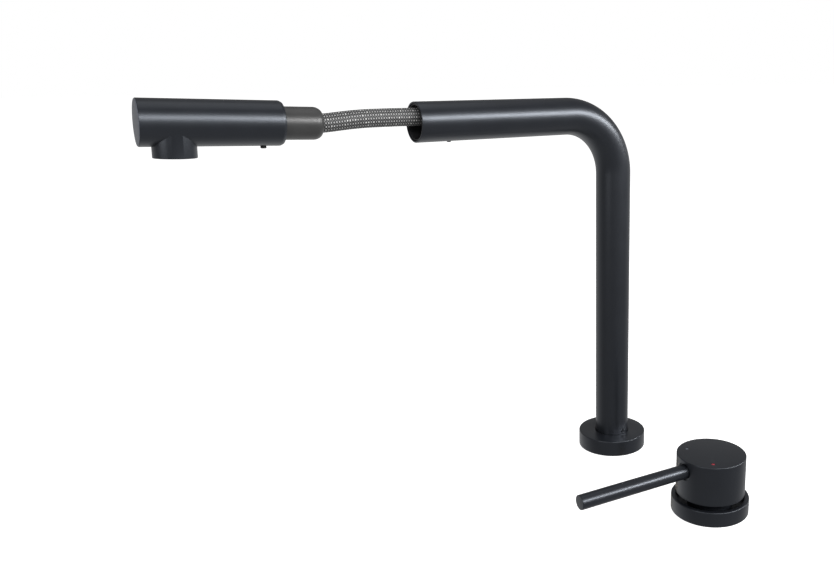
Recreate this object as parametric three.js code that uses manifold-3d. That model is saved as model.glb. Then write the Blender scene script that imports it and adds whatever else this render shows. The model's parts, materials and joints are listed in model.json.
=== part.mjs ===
// Two-hole pull-out kitchen mixer tap: a swivel spout with a pull-out spray head on a braided hose,
// and a separate single-lever mixer beside it.
//
// Millimetres, +Z up. The origin is the centre of the spout's hole in the worktop, on its top face.
// The arm points along -X and the mixer stands towards -Y.
import * as THREE from 'three';
import { mergeVertices } from 'three/addons/utils/BufferGeometryUtils.js';
import Module from 'manifold-3d';

const wasm = await Module();
wasm.setup();

// ---- clearances -------------------------------------------------------------------------------
const seatGap = 0.3; // between pieces that rest on or beside each other
const turnGap = 0.3; // between pieces that turn or slide on each other
const faceGap = 0.05; // between flat faces that are clamped together
const dockGap = 0.5; // between the docked spray head and the arm's mouth
const fineSides = 36; // sides of the flanges and the cap

// ---- worktop ----------------------------------------------------------------------------------
const worktopThickness = 30;

// ---- spout ------------------------------------------------------------------------------------
const tubeRadius = 14;
const tubeWall = 1.2;
const armHeight = 284;
const armLength = 172.5;
const bendRadius = 47;
const flangeRadius = 28.5;
const flangeHeight = 13.2;
const flangePlate = 3; // thickness of the flange's top
const edgeBevel = 0.6;
const gasketThickness = 1.2;
const footThickness = 3; // clamping plate on top of the worktop
const footRadius = 24.5;
const washerOverhang = 9; // outside the shank
const rubberWasherThickness = 2.5;
const steelWasherThickness = 1.8;
const nutHeight = 9;
const nutOversize = 9; // across flats, over the shank's diameter
const spoutShankRadius = 13.5;
const shankDepth = 58; // below the worktop's top face
const journalHeight = 41;
const bushThickness = 1.3;
const glideRingWall = 0.6;
const glideRingHeight = 5;
const lowerGlidePlace = 10; // bottoms of the rings on the journal
const upperGlidePlace = 31;
const sealPlace = 20;
const sealHeight = 1.6;
const bushBottom = 8;
const bushTop = 37;
const clipThickness = 1;
const clipInset = 1.6; // below the journal's top
const clipGrooveDepth = 1;
const clipReach = 1.6; // outside the journal
const hoseGuideHeight = 4;
const hosePlay = 1.8; // round the hose in the shank
const collarLength = 31;
const collarRecess = 0.8;
const collarWall = 0.7;
const collarScrewInset = 25.9; // from the mouth
const smallScrewRadius = 1.5;
const columnScrewHeight = 16;
const columnScrewAngle = -86; // degrees about +Z from +X

// ---- spray head -------------------------------------------------------------------------------
const headRadius = 14;
const headWall = 1.6;
const headLength = 82.4;
const headPulled = 89.4; // how far the head stands out of its docked place
const headRise = 2.7; // how far its inner end is lifted above the arm's axis there
const headTilt = 2.4; // degrees its outer end is tilted up there
const endCapThickness = 2;
const nozzlePlace = 62.8; // from the head's inner end
const nozzleRadius = 12.4;
const nozzleDrop = 20.6; // below the head's axis
const nozzleBoreRadius = 10.4;
const aeratorWall = 1.9;
const neckRadius = 10.4;
const neckLength = 25.1;
const neckDome = 6.5;
const neckBoreRadius = 8.9;
const neckRootLength = 15;
const neckScrewPlace = 11.7;
const neckScrewRadius = 1.8;
const neckScrewProud = 1.5;
const waterwayRadius = 7;
const waterwayBore = 4.5;

// ---- hose -------------------------------------------------------------------------------------
const hoseRadius = 6.2;
const hoseSides = 10;
const hoseEndInNeck = 13; // from the head's inner end
const ferruleRadius = 8.2;
const ferruleLength = 3.2; // the head tilts on the hose about the ferrule's middle
const ferruleTiltRoom = 1.5; // between the ferrule and the hose's nut
const hoseNutRadius = 8.3;
const hoseNutBore = 3.6;
const hoseNutEnd = 1.5; // from the head's inner end
const weightRadius = 19;
const weightLength = 28;
const weightBore = 8.8;

// ---- mixer ------------------------------------------------------------------------------------
const mixerX = -9.5;
const mixerY = -131.8;
const leverAngle = -4.1; // degrees the lever is turned from the arm's direction
const mixerFlangeHeight = 11.5;
const mixerShankRadius = 16.5;
const mixerBodyTop = 25;
const capRadius = 25.3;
const capWall = 2;
const capTop = 44.5;
const capGap = 3.1; // between the flange and the cap
const cartridgeRadius = 12.5;
const cartridgeTop = 22.4;
const liftPivotHeight = 20;
const turretRadius = 8.7;
const turretBore = 5.4;
const socketDepth = 4; // of the cartridge's socket, below the lift pivot
const cartridgeBottom = 3;
const couplingFlats = 18;
const couplingBottom = -85.7;
const hubRadius = 7.5;
const hubBottom = 29;
const stemRadius = 3.5;
const leverRadius = 5.2;
const leverDrop = 8.6; // lever's axis below the cap's top
const leverReach = 112.8; // lever's tip from the mixer's axis
const markRadius = 1.2;
const markPlace = 18.3; // from the cap's axis
const markAngle = 54; // from the lever
const portRadius = 4.6;
const outletPlace = 9; // outlet's distance from the mixer's axis
const inletSide = 9;
const inletPlace = 6;
const portLength = 22;

// ---- materials --------------------------------------------------------------------------------
function finish(color, roughness, metalness) {
  return new THREE.MeshStandardMaterial({ color, roughness, metalness });
}
const matteBlack = finish(0x26282b, 0.42, 0.35);
const darkGrey = finish(0x62666c, 0.4, 0.4);
const satinGrey = finish(0x6a6a6a, 0.35, 0.6);
const braidGrey = finish(0x8c8c8c, 0.7, 0);
const brass = finish(0xb08d4a, 0.35, 0.9);
const steel = finish(0xb4b6b8, 0.3, 0.9);
const rubber = finish(0x1b1b1b, 0.85, 0);
const whitePlastic = finish(0xdddcd6, 0.5, 0);
const blackPlastic = finish(0x2a2a2c, 0.5, 0);
const castIron = finish(0x55575a, 0.7, 0.6);
const red = finish(0xb3202c, 0.4, 0);
const paleBlue = finish(0x9fc0e0, 0.4, 0);

// ---- solids -----------------------------------------------------------------------------------
const degrees = Math.PI / 180;

// Profile points are [radius, height]; the solid of revolution stands on Z.
function revolve(profile, sides = 24) {
  const points = profile.map(([radius, height]) => new THREE.Vector2(radius, height));
  const area = points.reduce((sum, point, index) => {
    const next = points[(index + 1) % points.length];
    return sum + point.x * next.y - next.x * point.y;
  }, 0);
  if (area < 0) points.reverse();
  if (points[0].x > 0) points.push(points[0].clone());
  return new THREE.LatheGeometry(points, sides).rotateX(Math.PI / 2);
}

function disc(radius, bottom, top, sides = 24) {
  return revolve([[0, bottom], [radius, bottom], [radius, top], [0, top]], sides);
}

function ring(inner, outer, bottom, top, sides = 24) {
  return revolve([[inner, bottom], [outer, bottom], [outer, top], [inner, top]], sides);
}

function hexRing(inner, acrossFlats, bottom, top) {
  const shape = new THREE.Shape();
  for (let corner = 0; corner < 6; corner += 1) {
    const angle = corner * 60 * degrees;
    const radius = acrossFlats / Math.sqrt(3);
    const point = [radius * Math.cos(angle), radius * Math.sin(angle)];
    if (corner === 0) shape.moveTo(...point);
    else shape.lineTo(...point);
  }
  shape.closePath();
  shape.holes.push(new THREE.Path().absarc(0, 0, inner, 0, 2 * Math.PI, true));
  const options = { depth: top - bottom, bevelEnabled: false, curveSegments: 12 };
  return new THREE.ExtrudeGeometry(shape, options).translate(0, 0, bottom);
}

const alongX = (geometry) => geometry.rotateY(Math.PI / 2);
const pointingDown = (geometry) => geometry.rotateX(Math.PI);

function toSolid(geometry) {
  const bare = geometry.clone();
  bare.deleteAttribute('normal');
  bare.deleteAttribute('uv');
  const merged = mergeVertices(bare, 1e-4);
  const index = merged.index.array;
  const kept = [];
  for (let t = 0; t < index.length; t += 3) {
    const [a, b, c] = [index[t], index[t + 1], index[t + 2]];
    if (a !== b && b !== c && c !== a) kept.push(a, b, c);
  }
  return new wasm.Manifold(new wasm.Mesh({
    numProp: 3,
    vertProperties: new Float32Array(merged.attributes.position.array),
    triVerts: new Uint32Array(kept),
  }));
}

function toGeometry(solid) {
  const mesh = solid.getMesh();
  const geometry = new THREE.BufferGeometry();
  geometry.setAttribute('position', new THREE.BufferAttribute(mesh.vertProperties, 3));
  geometry.setIndex(new THREE.BufferAttribute(mesh.triVerts, 1));
  return geometry;
}

function cut(geometry, ...tools) {
  let solid = toSolid(geometry);
  for (const tool of tools) solid = solid.subtract(toSolid(tool));
  return toGeometry(solid);
}

function join(...geometries) {
  let solid = toSolid(geometries[0]);
  for (const geometry of geometries.slice(1)) solid = solid.add(toSolid(geometry));
  return toGeometry(solid);
}

// A radial pin or hole from one radius to another, at a height and an angle about Z.
function radial(radius, inner, outer, height, angle, sides = 12) {
  const pin = alongX(disc(radius, inner, outer, sides));
  return pin.rotateZ(angle * degrees).translate(0, 0, height);
}

// ---- paths ------------------------------------------------------------------------------------
// A path that an extrusion follows from station to station, so that straight stretches have no
// extra rings.
class StationPath extends THREE.Curve {
  constructor(stations) {
    super();
    this.stations = stations;
  }

  station(u) {
    return this.stations[Math.round(u * (this.stations.length - 1))];
  }

  getPointAt(u) {
    return this.station(u).point.clone();
  }

  getTangentAt(u) {
    return this.station(u).tangent.clone();
  }
}

function spoutPath(bottom) {
  const bendSteps = 12;
  const centre = new THREE.Vector3(-bendRadius, 0, armHeight - bendRadius);
  const up = new THREE.Vector3(0, 0, 1);
  const along = new THREE.Vector3(-1, 0, 0);
  const stations = [{ point: new THREE.Vector3(0, 0, bottom), tangent: up }];
  for (let step = 0; step <= bendSteps; step += 1) {
    const angle = step / bendSteps * Math.PI / 2;
    const point = new THREE.Vector3(
      centre.x + bendRadius * Math.cos(angle), 0, centre.z + bendRadius * Math.sin(angle),
    );
    const tangent = new THREE.Vector3(-Math.sin(angle), 0, Math.cos(angle));
    stations.push({ point, tangent });
  }
  stations.push({ point: new THREE.Vector3(-armLength, 0, armHeight), tangent: along });
  return new StationPath(stations);
}

function hoseAlong(points, stretch) {
  const curve = new THREE.CatmullRomCurve3(points.map((p) => new THREE.Vector3(...p)), false);
  const section = new THREE.Shape();
  for (let side = 0; side < hoseSides; side += 1) {
    const angle = side / hoseSides * 2 * Math.PI;
    const point = [hoseRadius * Math.cos(angle), hoseRadius * Math.sin(angle)];
    if (side === 0) section.moveTo(...point);
    else section.lineTo(...point);
  }
  section.closePath();
  const steps = Math.ceil(curve.getLength() / (stretch * 2 * hoseRadius));
  return new THREE.ExtrudeGeometry(section, { steps, extrudePath: curve, bevelEnabled: false });
}

// ---- tree -------------------------------------------------------------------------------------
const tap = new THREE.Group();

function add(parent, name, geometry, material) {
  const mesh = new THREE.Mesh(geometry, material);
  mesh.name = name;
  parent.add(mesh);
}

// ---- spout, fixed pieces ----------------------------------------------------------------------
const footBottom = gasketThickness;
const footTop = footBottom + footThickness;
const tubeBore = tubeRadius - tubeWall;
const bushOuter = tubeBore - turnGap;
const bushInner = bushOuter - bushThickness;
const ringOuter = bushInner - turnGap;
const ringInner = ringOuter - glideRingWall;
const journalRadius = ringInner - turnGap;
const hoseBoreRadius = hoseRadius + hosePlay;
const tubeBottom = footTop + 1;

function buildSpoutBase(parent) {
  add(parent, 'spout_gasket', ring(
    spoutShankRadius + seatGap, footRadius, 0, gasketThickness - faceGap), rubber);

  const cavity = footRadius + 2 * seatGap;
  const plateBottom = flangeHeight - flangePlate;
  const bore = tubeRadius + turnGap + 0.1;
  add(parent, 'spout_flange', revolve([
    [cavity, seatGap], [flangeRadius, seatGap], [flangeRadius, flangeHeight - edgeBevel],
    [flangeRadius - edgeBevel, flangeHeight], [bore, flangeHeight], [bore, plateBottom],
    [cavity, plateBottom],
  ], fineSides), matteBlack);

  const grooveRadius = journalRadius - clipGrooveDepth;
  const clipTop = journalHeight - clipInset;
  const grooveTop = clipTop + seatGap;
  const grooveBottom = clipTop - clipThickness - seatGap;
  add(parent, 'spout_shank', revolve([
    [hoseBoreRadius, -shankDepth], [spoutShankRadius, -shankDepth], [spoutShankRadius, footBottom],
    [footRadius, footBottom], [footRadius, footTop], [journalRadius, footTop],
    [journalRadius, grooveBottom], [grooveRadius, grooveBottom], [grooveRadius, grooveTop],
    [journalRadius, grooveTop], [journalRadius, journalHeight], [hoseBoreRadius, journalHeight],
  ]), brass);

  for (const [name, bottom] of [
    ['lower_glide_ring', lowerGlidePlace], ['upper_glide_ring', upperGlidePlace],
  ]) {
    add(parent, name, ring(ringInner, ringOuter, bottom, bottom + glideRingHeight), whitePlastic);
  }
  add(parent, 'journal_o_ring', ring(ringInner, ringOuter, sealPlace, sealPlace + sealHeight), rubber);
  add(parent, 'swivel_circlip', ring(
    grooveRadius + seatGap, journalRadius + clipReach, clipTop - clipThickness, clipTop), steel);
  const guideTop = -shankDepth - seatGap;
  add(parent, 'hose_guide', ring(
    hoseRadius + 0.5, spoutShankRadius - 1, guideTop - hoseGuideHeight, guideTop), whitePlastic);
}

function buildClamp(parent, prefix, shankRadius) {
  const top = -worktopThickness;
  const inner = shankRadius + seatGap;
  const outer = shankRadius + washerOverhang;
  add(parent, `${prefix}_rubber_washer`, ring(inner, outer, top - rubberWasherThickness, top), rubber);
  const steelTop = top - rubberWasherThickness - seatGap;
  const steelBottom = steelTop - steelWasherThickness;
  add(parent, `${prefix}_steel_washer`, ring(inner, outer, steelBottom, steelTop), steel);
  const nutTop = steelBottom - seatGap;
  const flats = 2 * shankRadius + nutOversize;
  add(parent, `${prefix}_fixing_nut`, hexRing(inner, flats, nutTop - nutHeight, nutTop), brass);
}

// ---- spout, turning pieces --------------------------------------------------------------------
function buildSpout(parent) {
  const circle = new THREE.Shape().absarc(0, 0, tubeRadius, 0, 2 * Math.PI, false);
  circle.holes.push(new THREE.Path().absarc(0, 0, tubeBore, 0, 2 * Math.PI, true));
  const path = spoutPath(tubeBottom);
  const tube = new THREE.ExtrudeGeometry(circle, {
    steps: path.stations.length - 1, extrudePath: path, bevelEnabled: false, curveSegments: 12,
  });
  const screwHole = smallScrewRadius + seatGap;
  const collarScrewX = -armLength + collarScrewInset;
  const collarHole = () => pointingDown(disc(screwHole, tubeBore - 3, tubeRadius + 2, 12))
    .translate(collarScrewX, 0, armHeight);
  const columnHole = () => radial(
    screwHole, tubeBore - 3, tubeRadius + 2, columnScrewHeight, columnScrewAngle);
  add(parent, 'spout_tube', cut(tube, collarHole(), columnHole()), matteBlack);

  const bush = ring(bushInner, bushOuter, bushBottom, bushTop);
  add(parent, 'swivel_bush', cut(bush, columnHole()), brass);
  add(parent, 'column_grub_screw', radial(
    smallScrewRadius, bushInner + 0.2, tubeRadius - 0.5,
    columnScrewHeight, columnScrewAngle), steel);

  const collarOuter = tubeBore - turnGap;
  const collar = alongX(ring(collarOuter - collarWall, collarOuter, 0, collarLength))
    .translate(-armLength + collarRecess, 0, armHeight);
  add(parent, 'arm_collar', cut(collar, collarHole()), darkGrey);
  add(parent, 'collar_set_screw', pointingDown(
    disc(smallScrewRadius, collarOuter - collarWall + 0.2, tubeRadius + 0.6, 12))
    .translate(collarScrewX, 0, armHeight), steel);
}

// ---- spray head -------------------------------------------------------------------------------
// Local frame: X runs outwards from the head's inner end along its axis, Z is up.
function buildHead(parent) {
  const shellEnd = headLength - endCapThickness - seatGap;
  const bore = headRadius - headWall;
  const barrel = alongX(revolve([
    [0, 0], [headRadius - 0.4, 0], [headRadius, 0.4], [headRadius, shellEnd], [0, shellEnd],
  ]));
  const nozzle = pointingDown(disc(nozzleRadius, 0, nozzleDrop)).translate(nozzlePlace, 0, 0);
  const barrelBore = alongX(disc(bore, -1, headLength));
  const nozzleBore = pointingDown(disc(nozzleBoreRadius, 4, nozzleDrop + 1))
    .translate(nozzlePlace, 0, 0);
  const screwHole = () => pointingDown(
    disc(neckScrewRadius + seatGap, bore - 1.9, headRadius + 1, 12)).translate(neckScrewPlace, 0, 0);
  add(parent, 'head_shell', cut(join(barrel, nozzle), barrelBore, nozzleBore, screwHole()), matteBlack);

  const spigot = bore - seatGap;
  add(parent, 'head_end_cap', alongX(revolve([
    [0, headLength - 5.5], [spigot, headLength - 5.5], [spigot, headLength - endCapThickness],
    [headRadius, headLength - endCapThickness], [headRadius, headLength - edgeBevel],
    [headRadius - edgeBevel, headLength], [0, headLength],
  ])), darkGrey);

  const dome = [];
  const domeSteps = 6;
  for (let step = 0; step <= domeSteps; step += 1) {
    const angle = step / domeSteps * 90 * degrees;
    dome.push([
      neckRadius - neckDome + neckDome * Math.cos(angle),
      -neckLength + neckDome - neckDome * Math.sin(angle),
    ]);
  }
  const hoseHole = hoseRadius + 0.55;
  const domeShown = dome.filter(([radius]) => radius > hoseHole + 0.2);
  const neck = alongX(revolve([
    [neckBoreRadius, neckRootLength], [spigot, neckRootLength], [spigot, seatGap],
    [neckRadius, seatGap], ...domeShown, [hoseHole, domeShown.at(-1)[1] - 0.4],
    [hoseHole, -neckLength + neckDome], [neckBoreRadius, -neckLength + neckDome + 1.5],
  ]));
  add(parent, 'neck', cut(neck, screwHole()), satinGrey);
  add(parent, 'neck_set_screw', pointingDown(
    disc(neckScrewRadius, bore - 1.6, headRadius + neckScrewProud, 12))
    .translate(neckScrewPlace, 0, 0), rubber);

  const waterwayEnd = nozzlePlace + waterwayRadius;
  const waterway = join(
    alongX(disc(waterwayRadius, 1.2, waterwayEnd)),
    pointingDown(disc(waterwayRadius - 1, 0, 8.4)).translate(nozzlePlace, 0, 0),
  );
  add(parent, 'waterway', cut(
    waterway,
    alongX(disc(waterwayBore, 0, waterwayEnd - 2)),
    pointingDown(disc(waterwayBore, 0, 9)).translate(nozzlePlace, 0, 0),
  ), whitePlastic);
  add(parent, 'check_valve', alongX(disc(waterwayBore - seatGap, 4, 14, 16)), blackPlastic);
  add(parent, 'neck_seal', alongX(ring(4, 7.5, -1.2, 0.9)), rubber);

  const housingOuter = nozzleBoreRadius - seatGap;
  const housingBore = housingOuter - aeratorWall;
  const insertRadius = housingBore - seatGap;
  const housing = pointingDown(revolve([
    [5, 8.8], [housingOuter, 8.8], [housingOuter, nozzleDrop - 0.4],
    [housingBore, nozzleDrop - 0.4], [housingBore, 11.5], [5, 11.5],
  ])).translate(nozzlePlace, 0, 0);
  add(parent, 'aerator_housing', housing, blackPlastic);
  add(parent, 'aerator_gasket', pointingDown(ring(5.4, insertRadius, 11.8, 13.6))
    .translate(nozzlePlace, 0, 0), rubber);
  const jets = [];
  for (const [count, place] of [[1, 0], [6, 2.7], [12, 5.4]]) {
    for (let jet = 0; jet < count; jet += 1) {
      const angle = jet / count * 2 * Math.PI;
      jets.push(pointingDown(disc(0.8, 13, nozzleDrop, 6))
        .translate(place * Math.cos(angle), place * Math.sin(angle), 0));
    }
  }
  const insert = cut(pointingDown(disc(insertRadius, 13.9, nozzleDrop - 0.9)), ...jets);
  add(parent, 'aerator_insert', insert.translate(nozzlePlace, 0, 0), whitePlastic);
}

function buildHoseEnd(parent) {
  add(parent, 'hose_nut', alongX(ring(
    hoseNutBore, hoseNutRadius, -hoseEndInNeck + ferruleTiltRoom, -hoseNutEnd)), brass);
  add(parent, 'hose_ferrule', alongX(ring(
    hoseRadius + 0.35, ferruleRadius, -hoseEndInNeck - ferruleLength, -hoseEndInNeck)), steel);
}

// ---- hose -------------------------------------------------------------------------------------
// Centreline points of the three stretches, in order from the spray head to the mixer's outlet.
const reachPoints = [
  [-249.4, 0, 286.15], [-243.6, 0, 285.9], [-237.4, 0, 285.75], [-231, 0, 286.1], [-224, 0, 286.7],
  [-216, 0, 287.3], [-207, 0, 287.7], [-196, 0, 287.8], [-184, 0, 287.8], [-172.5, 0, 287.7],
  [-155, 0, 287.7], [-135, 0, 287.7], [-112, 0, 287.7], [-89, 0, 287.7], [-66, 0, 287.7],
];
const riserPoints = [
  [-65.7, 0, 287.7], [-60, 0, 287.7], [-54.3, 0, 287.7], [-39.3, 0, 285.7], [-25.3, 0, 279.9],
  [-13.3, 0, 270.7], [-4.1, 0, 258.7], [1.7, 0, 244.7], [3.7, 0, 229.7], [3.7, 0, 215],
  [3.6, 0, 196], [3.3, 0, 170], [2.7, 0, 140], [1.8, 0, 108], [0.8, 0, 78], [0.1, 0, 50],
  [0, 0, 28], [0, 0, 6],
];
const tailPoints = [
  [0, 0, 5.7], [0, 0, -15], [0, 0, -40], [0, 0, -70], [0, 0, -105], [0, 0, -145], [0, 0, -190],
  [0, 0, -235], [0, 0, -275], [-0.5, -5.4, -301.9], [-1.4, -20.6, -324.8], [-2.9, -43.5, -340],
  [-4.75, -70.4, -345.4], [-6.6, -97.3, -340], [-8.1, -120.2, -324.8], [-9, -135.4, -301.9],
  [-9.5, -140.8, -275], [-9.5, -140.8, -240], [-9.5, -140.8, -200], [-9.5, -140.8, -160],
  [-9.5, -140.8, -125], [-9.5, -140.8, -100], [-9.5, -140.8, -86],
];
const hoseLowest = [-4.75, -70.4, -345.4];

function buildHose(parent) {
  add(parent, 'hose_reach', hoseAlong(reachPoints, 1.6), braidGrey);
  add(parent, 'hose_riser', hoseAlong(riserPoints, 1.0), braidGrey);
  add(parent, 'hose_tail', hoseAlong(tailPoints, 1.4), braidGrey);
}

function buildHoseWeight(parent) {
  const block = (flip) => {
    const half = new THREE.Shape();
    half.moveTo(weightRadius, 0.2);
    half.absarc(0, 0.2, weightRadius, 0, Math.PI, false);
    half.lineTo(-weightBore, 0.2);
    half.absarc(0, 0, weightBore, Math.PI, 0, true);
    half.closePath();
    const options = { depth: weightLength, bevelEnabled: false, curveSegments: 12 };
    const geometry = new THREE.ExtrudeGeometry(half, options).translate(0, 0, -weightLength / 2);
    geometry.rotateX(Math.PI / 2);
    return flip ? geometry.rotateY(Math.PI) : geometry;
  };
  const screwPlace = (weightRadius + weightBore) / 2;
  const screwHoles = () => [-1, 1].map((side) => disc(2.3, -weightRadius, weightRadius, 12)
    .translate(side * screwPlace, 0, 0));
  const [x, y, z] = hoseLowest;
  const upper = cut(block(false), ...screwHoles()).translate(x, y, z);
  const lower = cut(block(true), ...screwHoles()).translate(x, y, z);
  add(parent, 'hose_weight_upper', upper, castIron);
  add(parent, 'hose_weight_lower', lower, castIron);
  [['near', -1], ['far', 1]].forEach(([name, side]) => {
    const screw = disc(2, -12, 12, 12).translate(x + side * screwPlace, y, z);
    add(parent, `hose_weight_screw_${name}`, screw, steel);
  });
}

// ---- mixer, fixed pieces ----------------------------------------------------------------------
const portTop = -shankDepth + 8;

function buildMixerBase(parent) {
  add(parent, 'mixer_gasket', ring(
    mixerShankRadius + seatGap, footRadius, 0, gasketThickness - faceGap), rubber);
  const cavity = footRadius + 2 * seatGap;
  add(parent, 'mixer_flange', revolve([
    [cavity, seatGap], [flangeRadius, seatGap], [flangeRadius, mixerFlangeHeight - edgeBevel],
    [flangeRadius - edgeBevel, mixerFlangeHeight], [cavity + 0.1, mixerFlangeHeight],
    [cavity + 0.1, footTop + 1.2], [mixerShankRadius + 2.5, footTop + 1.2],
    [mixerShankRadius + 2.5, footTop + seatGap], [cavity, footTop + seatGap],
  ], fineSides), matteBlack);

  const body = revolve([
    [0, -shankDepth], [mixerShankRadius, -shankDepth], [mixerShankRadius, footBottom],
    [footRadius, footBottom], [footRadius, footTop], [mixerShankRadius, footTop],
    [mixerShankRadius, mixerBodyTop], [cartridgeRadius + 2.1, mixerBodyTop],
    [cartridgeRadius + 2.1, cartridgeTop + 0.2], [cartridgeRadius + seatGap, cartridgeTop + 0.2],
    [cartridgeRadius + seatGap, cartridgeBottom - seatGap], [0, cartridgeBottom - seatGap],
  ]);
  const port = (x, y) => disc(portRadius, -shankDepth - 1, portTop, 16).translate(x, y, 0);
  add(parent, 'mixer_body', cut(
    body, port(0, -outletPlace), port(inletSide, inletPlace), port(-inletSide, inletPlace)), brass);

  const pipeRadius = portRadius - seatGap;
  const pipe = (x, y) => ring(
    pipeRadius - 1.3, pipeRadius, portTop - seatGap - portLength, portTop - seatGap, 16)
    .translate(x, y, 0);
  add(parent, 'hot_inlet', pipe(-inletSide, inletPlace), brass);
  add(parent, 'cold_inlet', pipe(inletSide, inletPlace), brass);
  add(parent, 'outlet_nipple', pipe(0, -outletPlace), brass);
  add(parent, 'hose_coupling', hexRing(
    pipeRadius + seatGap, couplingFlats, couplingBottom, -shankDepth - 4)
    .translate(0, -outletPlace, 0), brass);

  add(parent, 'cartridge_body', revolve([
    [0, cartridgeBottom], [cartridgeRadius, cartridgeBottom], [cartridgeRadius, cartridgeTop],
    [turretRadius + turnGap, cartridgeTop], [turretRadius + turnGap, liftPivotHeight - socketDepth],
    [0, liftPivotHeight - socketDepth],
  ]), whitePlastic);
  add(parent, 'cartridge_nut', revolve([
    [11.2, cartridgeTop + seatGap], [cartridgeRadius + 1.7, cartridgeTop + seatGap],
    [cartridgeRadius + 1.7, mixerBodyTop + 0.2], [mixerShankRadius - 0.5, mixerBodyTop + 0.2],
    [mixerShankRadius - 0.5, mixerBodyTop + 1.9], [11.2, mixerBodyTop + 1.9],
  ]), brass);
}

// ---- mixer, moving pieces ---------------------------------------------------------------------
// Local frame: Z is the mixer's axis and the lever points along X.
function buildTurret(parent) {
  add(parent, 'cartridge_turret', ring(
    turretBore, turretRadius, liftPivotHeight - 3, liftPivotHeight + 2), blackPlastic);
}

function buildHandle(parent) {
  const leverHeight = capTop - leverDrop;
  const capBottom = mixerFlangeHeight + capGap;
  add(parent, 'cartridge_stem', disc(stemRadius, liftPivotHeight - 2.5, leverHeight + 0.8, 16), steel);
  const leverBoss = () => alongX(disc(leverRadius + seatGap, 4.6, capRadius + 2))
    .translate(0, 0, leverHeight);
  const stemHole = disc(stemRadius + seatGap, hubBottom - 1, leverHeight + 1.6, 16);
  const grubAngle = 180;
  const hub = disc(hubRadius, hubBottom, capTop - capWall - seatGap);
  add(parent, 'handle_hub', cut(hub, stemHole, leverBoss()), castIron);

  const bevel = 0.5;
  const cap = revolve([
    [capRadius - capWall, capBottom], [capRadius, capBottom], [capRadius, capTop - bevel],
    [capRadius - bevel, capTop], [0, capTop], [0, capTop - capWall],
    [capRadius - capWall, capTop - capWall],
  ], fineSides);
  const marks = [['hot_mark', markAngle, red], ['cold_mark', -markAngle, paleBlue]];
  const atMark = (geometry, angle) => geometry.translate(
    markPlace * Math.cos(angle * degrees), markPlace * Math.sin(angle * degrees), 0);
  const recesses = marks.map(([, angle]) => atMark(
    disc(markRadius + seatGap, capTop - 1.1, capTop + 1, 12), angle));
  const countersink = alongX(disc(leverRadius + 1.2, capRadius - 1.1, capRadius + 2))
    .translate(0, 0, leverHeight);
  const grubHole = radial(
    smallScrewRadius + seatGap, capRadius - capWall - 1, capRadius + 1, leverHeight, grubAngle);
  add(parent, 'handle_cap', cut(cap, leverBoss(), countersink, grubHole, ...recesses), matteBlack);
  for (const [name, angle, material] of marks) {
    add(parent, name, atMark(disc(markRadius, capTop - 0.8, capTop - 0.05, 12), angle), material);
  }
  add(parent, 'lever_rod', alongX(revolve([
    [0, 5], [leverRadius, 5], [leverRadius, leverReach - 0.5],
    [leverRadius - 0.5, leverReach], [0, leverReach],
  ])).translate(0, 0, leverHeight), matteBlack);
  add(parent, 'cap_grub_screw', radial(
    smallScrewRadius, hubRadius + seatGap, capRadius - 0.4, leverHeight, grubAngle), steel);
}

// ---- assembly ---------------------------------------------------------------------------------
buildSpoutBase(tap);
buildClamp(tap, 'spout', spoutShankRadius);
buildSpout(tap);

const head = new THREE.Group();
head.position.set(-(armLength + dockGap + headPulled), 0, armHeight + headRise);
head.rotation.set(0, -headTilt * degrees, Math.PI, 'ZYX');
tap.add(head);
buildHead(head);
buildHoseEnd(head);
buildHose(tap);
buildHoseWeight(tap);

const mixer = new THREE.Group();
mixer.position.set(mixerX, mixerY, 0);
tap.add(mixer);
buildMixerBase(mixer);
buildClamp(mixer, 'mixer', mixerShankRadius);

const handle = new THREE.Group();
handle.rotation.z = Math.PI + leverAngle * degrees;
mixer.add(handle);
buildTurret(handle);
buildHandle(handle);

export default tap;
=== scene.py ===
# Looks of a two-hole pull-out kitchen mixer tap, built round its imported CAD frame.
# Shapes are made in millimetres in the frame of the piece that they belong to, and placed in metres.
import json
import math

import bmesh
import bpy
import numpy as np
from mathutils import Matrix, Vector


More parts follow.
